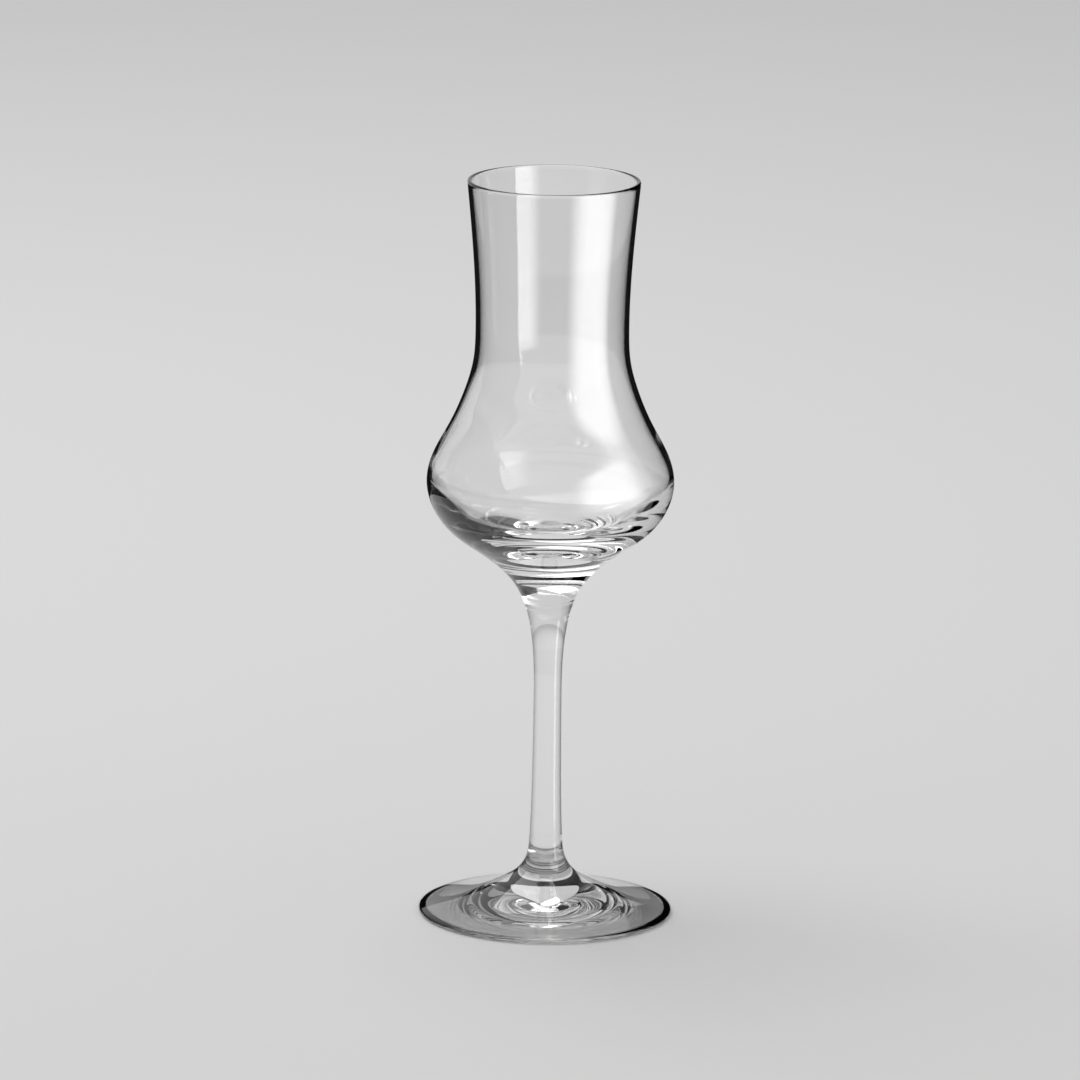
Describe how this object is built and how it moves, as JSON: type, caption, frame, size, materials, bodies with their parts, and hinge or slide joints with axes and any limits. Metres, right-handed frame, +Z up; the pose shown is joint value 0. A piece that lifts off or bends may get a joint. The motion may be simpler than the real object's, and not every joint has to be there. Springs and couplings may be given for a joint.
{
  "type": "stemmed whisky glass",
  "caption": "Stemmed nosing glass of clear crystal with a bulbous bowl, tall flared chimney, slender drawn stem and wide conical foot.",
  "frame": {"origin": "centre of the base, on the surface that the glass stands on", "axes": "+Z up along the glass's axis of revolution; +X and +Y are alike, and -Y faces the viewer"},
  "size_m": [0.0714, 0.0714, 0.21],
  "materials": {
    "crystal": "polished"
  },
  "bodies": {
    "root": {"bowl": "crystal", "stem": "crystal", "foot": "crystal"}
  },
  "joints": []
}
